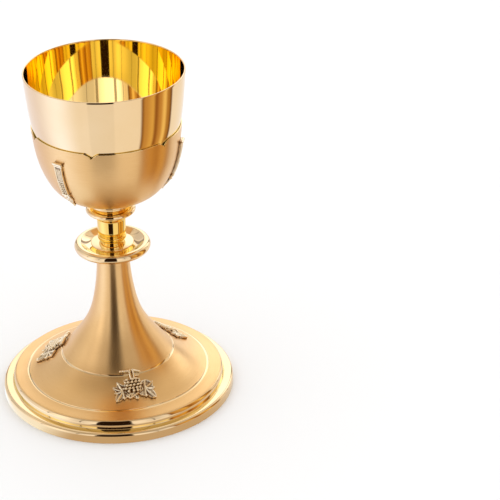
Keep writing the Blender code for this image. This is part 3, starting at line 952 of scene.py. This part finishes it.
def deepened(shader, colour, deep, depth):
    """The colour, or a deeper one where it is itself seen in other gold: after so many reflections."""
    bounce = shader.add("LightPath", {}).outputs["Glossy Depth"]
    return shader.blend(shader.math("GREATER_THAN", bounce, depth - 0.5), colour, deep)


def polished_gold(name, pale, warm):
    """Mirror-polished gilding: faint cloudy wiping marks and hair-fine lathe lines."""
    shader = Shader(name)
    cloud = shader.noise(shader.place(), 28.0, 4.0)
    lines = shader.noise(shader.turning_marks(9000.0, 2.5, 1.0), 1.0, 2.0)
    tint = shader.blend(shader.spread(cloud, 0.0, 1.0), pale, warm)
    shader.set(Metallic=1.0, Base_Color=deepened(shader, tint, MIRRORED_GOLD, 1))
    haze = shader.spread(cloud, 0.03, 0.06)
    shader.set(Roughness=shader.math("ADD", haze, shader.spread(lines, 0.0, 0.02)))
    shader.bump(lines, 0.02, 0.02)
    return shader.material


def gilt_inside():
    """The deep yellow gilding of the bowl's inside, with faint spinning rings."""
    shader = Shader("gilt")
    cloud = shader.noise(shader.place(), 22.0, 3.0)
    rings = shader.noise(shader.turning_marks(1500.0, 1.2, 1.0), 1.0, 2.0)
    tint = shader.blend(shader.spread(cloud, 0.0, 1.0), GILT, CLOUDED_GILT)
    shader.set(Metallic=1.0, Base_Color=deepened(shader, tint, DEEP_GILT, 2))
    shader.set(Roughness=shader.spread(cloud, 0.025, 0.05))
    shader.bump(rings, 0.03, 0.03)
    return shader.material


def satin_gold(name, slope):
    """Gilding brushed in circles: fine bright and dull lines, highlights drawn out across them."""
    shader = Shader(name)
    brush = shader.noise(shader.turning_marks(5200.0, 5.0, slope), 1.0, 4.0, 0.65)
    broad = shader.noise(shader.place(), 18.0, 3.0)
    tone = shader.math("ADD", shader.spread(brush, -0.3, 0.3), shader.spread(broad, 0.2, 0.8))
    shader.set(Metallic=1.0, Base_Color=shader.blend(tone, SATIN, DULL_SATIN))
    shader.set(Roughness=shader.spread(brush, 0.27, 0.37), Anisotropic=0.55, Anisotropic_Rotation=0.25)
    shader.set(Tangent=shader.add("Tangent", {}, direction_type="RADIAL", axis="Z").outputs[0])
    shader.bump(brush, 0.10, 0.03)
    return shader.material


def cast_gold():
    """Gilded casting: bright rubbed crests, hollows darkened brown by painted shade, a fine sandy skin."""
    shader = Shader("cast")
    hollow = shader.add("Attribute", {}, attribute_name="hollow").outputs["Fac"]
    sand = shader.noise(shader.place(), 2600.0, 3.0, 0.6)
    blotch = shader.noise(shader.place(), 240.0, 2.0)
    depth = shader.math("MULTIPLY_ADD", shader.spread(blotch, -0.1, 0.1), 1.0, hollow)
    # Painted shade: the deeper the hollow, the darker brown the base colour
    dark = shader.spread(depth, 0.0, 1.0, 0.36, 0.74)
    shader.set(Metallic=1.0, Base_Color=shader.blend(dark, CAST_CREST, CAST_PAINTED_SHADE))
    shader.set(Roughness=shader.spread(depth, 0.28, 0.50, 0.2, 0.9))
    shader.bump(sand, 0.25, 0.05)
    return shader.material


def raw_brass(name, marks, slope, cloud, colours, gloss, relief):
    """Brass as the tool left it: rings round the axis, and clouds of tarnish."""
    shader = Shader(name)
    rings = shader.noise(shader.turning_marks(marks, 1.5, slope), 1.0, 3.0, 0.6)
    tarnish = shader.spread(shader.noise(shader.place(), *cloud), 0.0, 1.0)
    shader.set(Metallic=1.0, Base_Color=shader.blend(tarnish, *colours))
    shader.set(Roughness=shader.spread(rings, *gloss))
    shader.bump(rings, *relief)
    return shader.material


def spun_inside():
    """Raw spun brass under a thin flash of gilding: broad tool rings."""
    colours = (SPUN_BRASS, TARNISH)
    return raw_brass("spun", 1400.0, -1.0, (35.0, 5.0, 0.6), colours, (0.30, 0.48), (0.35, 0.08))


def turned_brass():
    """Free-cutting brass straight from the lathe: fine tool lines, slight tarnish."""
    colours = (CUT_BRASS, AGED_BRASS)
    return raw_brass("turned_brass", 4200.0, 1.0, (120.0, 4.0), colours, (0.20, 0.36), (0.25, 0.04))


def zinc_plate():
    """Zinc-plated steel: grey with a slight mottle and rubbed high spots."""
    shader = Shader("zinc")
    cells = shader.add("TexVoronoi", {"Vector": shader.place(), "Scale": 900.0}).outputs["Distance"]
    cloud = shader.noise(shader.place(), 260.0, 4.0)
    tone = shader.math("MULTIPLY_ADD", cells, 0.35, shader.spread(cloud, 0.0, 0.7))
    shader.set(Metallic=1.0, Base_Color=shader.blend(tone, ZINC, DULL_ZINC))
    shader.set(Roughness=shader.spread(cloud, 0.24, 0.46))
    shader.bump(cloud, 0.2, 0.04)
    return shader.material


def fibre():
    """Vulcanised fibre: brick red, faintly flecked, dull."""
    shader = Shader("fibre")
    fleck = shader.noise(shader.place(), 1800.0, 4.0, 0.7)
    shader.set(Base_Color=shader.blend(shader.spread(fleck, 0.0, 1.0), FIBRE, FIBRE_FLECK))
    shader.set(Roughness=shader.spread(fleck, 0.55, 0.8))
    shader.bump(fleck, 0.3, 0.05)
    return shader.material


# ---------------- studio

# The dark slot at the lens
SLOT_AZIMUTH = -3.0
SLOT_HALF_WIDTH = 18.0
DARK = (0.020, 0.009, 0.004)
# The floor close to the foot, as it is painted into reflections: painted shade in front, a painted glow to
# the left
NEAR_FLOOR_PAINTED_SHADE = (0.62, 0.50, 0.36)
BESIDE_FLOOR_PAINTED_GLOW = (1.08, 1.20, 1.36)
FLOOR_REACH = 3.0
FLOOR_PALE = 0.93
# What the camera and the soft light see of the tent
SOFT_LEVEL = 1.12
# The tent's panels, as (azimuth, level), and the azimuths of the seams between them
LEFT_PANELS = ((-180, 1.05), (-140, 0.85), (-100, 0.95), (-78, 1.1), (-60, 1.35), (-40, 0.85), (-22, 1.1))
RIGHT_PANELS = ((22, 1.1), (40, 0.8), (52, 0.95), (120, 0.9), (150, 1.1), (180, 1.05))
FRONT_ROOF = (0.52, 0.46, 0.38)
BACK_ROOF = (0.92, 0.88, 0.80)
# The bright panels behind the chalice, and the painted glow that the floor shows in reflections, as
# (azimuth, colour) all round
BACK_GLOW = (
    (-180, (1.70, 1.72, 1.80)),
    (-168, (1.50, 1.50, 1.50)),
    (-156, (1.25, 1.25, 1.25)),
    (-140, (0.75, 0.75, 0.78)),
    (-100, (0.70, 0.70, 0.72)),
    (120, (0.90, 0.80, 0.65)),
    (146, (1.75, 1.85, 2.00)),
    (180, (1.70, 1.72, 1.80)),
)
FLOOR_PAINTED_GLOW = (
    (-180, (1.02, 1.01, 1.00)),
    (-115, (0.95, 0.97, 1.18)),
    (-70, (1.22, 1.38, 1.80)),
    (-32, (1.00, 1.00, 1.02)),
    (60, (1.00, 0.98, 0.95)),
    (180, (1.02, 1.01, 1.00)),
)
# The seams between panels, as (azimuth, half width)
SEAMS = ((-152, 4.0), (-120, 0.9), (-75, 0.9), (-38, 0.9), (38, 0.9), (128, 0.9), (152, 4.0))
SEAM_COLOUR = (0.22, 0.18, 0.15)
SEAM_SHARE = 0.8
# The golden vessel that stands to the right, as (azimuth, colour) across it; on the floor it is a painted
# reflection
VESSEL_AZIMUTH = 84.0
VESSEL_HALF_WIDTH = 29.0
VESSEL = (
    (55, (0.20, 0.08, 0.02)),
    (62, (0.62, 0.34, 0.09)),
    (74, (0.80, 0.50, 0.13)),
    (80, (0.34, 0.14, 0.03)),
    (88, (0.62, 0.33, 0.08)),
    (97, (1.00, 0.72, 0.25)),
    (104, (0.52, 0.27, 0.06)),
    (113, (0.14, 0.06, 0.02)),
)

# The camera, fitted to the chalice's outline: place in metres, angles in degrees
CAMERA_PLACE = (0.0786, -1.0776, 0.6578)
CAMERA_DOWN = 27.92
CAMERA_ROLL = -0.89
CAMERA_LENS = 153.2


def direction_parts(tree, vector):
    """Azimuth in degrees, 0 at the front, and the upward share of a direction or a place."""
    apart = add_node(tree, "SeparateXYZ", {0: vector})
    back = product(tree, apart.outputs[1], -1.0)
    angle = first_of(tree, "Math", {0: apart.outputs[0], 1: back}, operation="ARCTAN2")
    return product(tree, angle, 180.0 / math.pi), apart.outputs[2]


def window(tree, value, centre, half, soft):
    """1 inside centre plus or minus half, falling to 0 over soft."""
    away = first_of(tree, "Math", {0: value, 1: centre}, operation="SUBTRACT")
    away = first_of(tree, "Math", {0: away}, operation="ABSOLUTE")
    return fall(tree, away, half - soft, half + soft)


def fall(tree, value, start, end):
    """1 below start, falling smoothly to 0 at end."""
    inputs = {"Value": value, "From Min": start, "From Max": end, "To Min": 1.0, "To Max": 0.0}
    return first_of(tree, "MapRange", inputs, interpolation_type="SMOOTHSTEP")


def ramp(tree, azimuth, stops):
    """A colour that changes with the azimuth, smooth between its stops."""
    first, last = stops[0][0], stops[-1][0]
    share = first_of(tree, "MapRange", {"Value": azimuth, "From Min": first, "From Max": last})
    node = add_node(tree, "ValToRGB", {0: share})
    elements = node.color_ramp.elements
    node.color_ramp.interpolation = "EASE"
    for angle, colour in stops:
        if angle in (first, last):
            element = elements[0 if angle == first else -1]
        else:
            element = elements.new((angle - first) / (last - first))
        element.color = (*colour, 1.0)
    return node.outputs[0]


def vessel_share(tree, azimuth):
    """1 where the golden vessel stands."""
    return window(tree, azimuth, VESSEL_AZIMUTH, VESSEL_HALF_WIDTH, 2.5)


def tent_colour(tree, vector):
    """What the light tent shows in each direction: panels, seams, a slot for the lens, a golden vessel."""
    azimuth, rise = direction_parts(tree, vector)
    greys = [(angle, (level, level, level * 1.02)) for angle, level in LEFT_PANELS + RIGHT_PANELS]
    panels = ramp(tree, azimuth, greys)
    behind = fall(tree, window(tree, azimuth, 0.0, 105.0, 20.0), 0.0, 1.0)
    roof = mixed(tree, behind, FRONT_ROOF, BACK_ROOF)
    colour = mixed(tree, fall(tree, rise, 0.35, 0.85), roof, panels)
    glow = product(tree, behind, window(tree, rise, 0.42, 0.22, 0.10))
    colour = mixed(tree, glow, colour, ramp(tree, azimuth, BACK_GLOW))
    for seam, half in SEAMS:
        line = window(tree, azimuth, seam, half, 0.7)
        colour = mixed(tree, product(tree, line, SEAM_SHARE), colour, SEAM_COLOUR)
    vessel = product(tree, vessel_share(tree, azimuth), fall(tree, rise, 0.58, 0.76))
    colour = mixed(tree, vessel, colour, ramp(tree, azimuth, VESSEL))
    slot = window(tree, azimuth, SLOT_AZIMUTH, SLOT_HALF_WIDTH, 1.0)
    return mixed(tree, product(tree, slot, fall(tree, rise, 0.78, 0.93)), colour, DARK)


def make_world():
    """The tent lights the metal; the camera and the diffuse light see an even pale grey instead."""
    world = bpy.data.worlds.new("light_tent")
    bpy.context.scene.world = world
    world.use_nodes = True
    tree = world.node_tree
    vector = add_node(tree, "TexCoord", {}).outputs["Generated"]
    path = add_node(tree, "LightPath", {}).outputs
    rays = {0: path["Is Camera Ray"], 1: path["Is Diffuse Ray"]}
    soft = first_of(tree, "Math", rays, operation="ADD")
    colour = mixed(tree, soft, tent_colour(tree, vector), (SOFT_LEVEL,) * 3)
    feed(tree, tree.nodes["Background"].inputs["Color"], colour)


def make_floor():
    """A plain pale floor. In reflections it glows with painted light like the tent, with painted shade near
    the foot, and it can't be seen from below.
    """
    mesh = bpy.data.meshes.new("floor")
    turns = ((-1, -1), (1, -1), (1, 1), (-1, 1))
    mesh.from_pydata([(x * FLOOR_REACH, y * FLOOR_REACH, 0) for x, y in turns], [], [(0, 1, 2, 3)])
    floor = link("floor", mesh)
    shader = Shader("floor")
    tree = shader.tree
    shader.set(Base_Color=(FLOOR_PALE,) * 3, Roughness=0.6)
    place = shader.place()
    azimuth, _ = direction_parts(tree, place)
    away = shader.add("VectorMath", {0: place}, operation="LENGTH").outputs["Value"]
    far = shader.spread(away, 0.0, 1.0, 0.100, 0.150)
    steep = shader.add("SeparateXYZ", {0: shader.add("NewGeometry", {}).outputs["Incoming"]}).outputs[2]
    # Painted reflection: the lens's dark slot and the golden vessel, laid on the floor for reflections only
    slot = product(tree, window(tree, azimuth, SLOT_AZIMUTH, SLOT_HALF_WIDTH, 1.5), far)
    black = product(tree, slot, fall(tree, steep, 0.47, 0.54))
    vessel = product(tree, vessel_share(tree, azimuth), far)
    shown = mixed(tree, product(tree, slot, 0.07), ramp(tree, azimuth, FLOOR_PAINTED_GLOW), DARK)
    shown = mixed(tree, black, mixed(tree, vessel, shown, ramp(tree, azimuth, VESSEL)), DARK)
    front = window(tree, azimuth, 10.0, 60.0, 35.0)
    beside = window(tree, azimuth, -64.0, 32.0, 12.0)
    # Near the foot, reflections see painted shade in front and a painted glow to the left
    shown = mixed(tree, far, mixed(tree, beside, NEAR_FLOOR_PAINTED_SHADE, BESIDE_FLOOR_PAINTED_GLOW), shown)
    # The floor glows with this painted light in glossy rays only; the camera and diffuse light see the
    # plain floor
    glow = shader.add("Emission", {"Color": shown, "Strength": 1.0}).outputs[0]
    painted_share = shader.math("MAXIMUM", far, shader.math("MAXIMUM", front, beside))
    painted_in_reflections = product(tree, painted_share, shader.add("LightPath", {}).outputs["Is Glossy Ray"])
    seen = shader.add("MixShader", {0: painted_in_reflections, 1: shader.surface.outputs[0], 2: glow}).outputs[0]
    clear = shader.add("BsdfTransparent", {}).outputs[0]
    behind = shader.add("NewGeometry", {}).outputs["Backfacing"]
    final = shader.add("MixShader", {0: behind, 1: seen, 2: clear}).outputs[0]
    tree.links.new(final, tree.nodes["Material Output"].inputs["Surface"])
    mesh.materials.append(shader.material)


def make_light(name, place, aim, size, power):
    """A soft round lamp; size in metres, power in watts."""
    data = bpy.data.lights.new(name, "AREA")
    data.shape = "DISK"
    data.size = size
    data.energy = power
    light = link(name, data)
    light.location = place
    light.rotation_euler = (Vector(aim) - Vector(place)).to_track_quat("-Z", "Y").to_euler()


def make_camera():
    data = bpy.data.cameras.new("camera")
    data.lens = CAMERA_LENS
    data.sensor_width = 36.0
    data.clip_start = 0.05
    camera = link("camera", data)
    camera.location = CAMERA_PLACE
    pitch = Matrix.Rotation(math.radians(90.0 - CAMERA_DOWN), 4, "X")
    roll = Matrix.Rotation(math.radians(CAMERA_ROLL), 4, "Z")
    camera.rotation_euler = (pitch @ roll).to_euler()
    bpy.context.scene.camera = camera


def make_studio():
    make_world()
    make_floor()
    make_light("under_foot", (0, 0, 0.001), (0, 0, 1), 0.09, 0.05)
    make_camera()
    bpy.context.scene.view_settings.view_transform = "Standard"
    bpy.context.scene.cycles.glossy_bounces = 8


# ---------------- assembly

MATERIALS = {
    "polished": polished_gold("polished", PALE_GOLD, WARM_GOLD),
    "deep_polished": polished_gold("deep_polished", DEEP_GOLD, RED_GOLD),
    "gilt": gilt_inside(),
    "satin": satin_gold("satin", 1.0),
    "satin_foot": satin_gold("satin_foot", -1.0),
    "cast": cast_gold(),
    "spun": spun_inside(),
    "turned_brass": turned_brass(),
    "zinc": zinc_plate(),
    "fibre": fibre(),
}

make_bowl()
make_sleeve()
make_consoles()
make_boss()
make_plain_ring("fibre_washer", "cup_washer", 0.1, "fibre", "fibre")
make_collar()
make_neck()
make_bead()
make_ring()
make_knop()
make_stem_foot()
make_vines()
make_plain_ring("brazed_bush", "stem_bush", 0.3, "turned_brass", "machined_brass")
make_rod()
make_plain_ring("flat_washer_pressed", "flat_washer", 0.25, "zinc", "zinc_steel")
make_spring_washer()
make_nut()
make_studio()
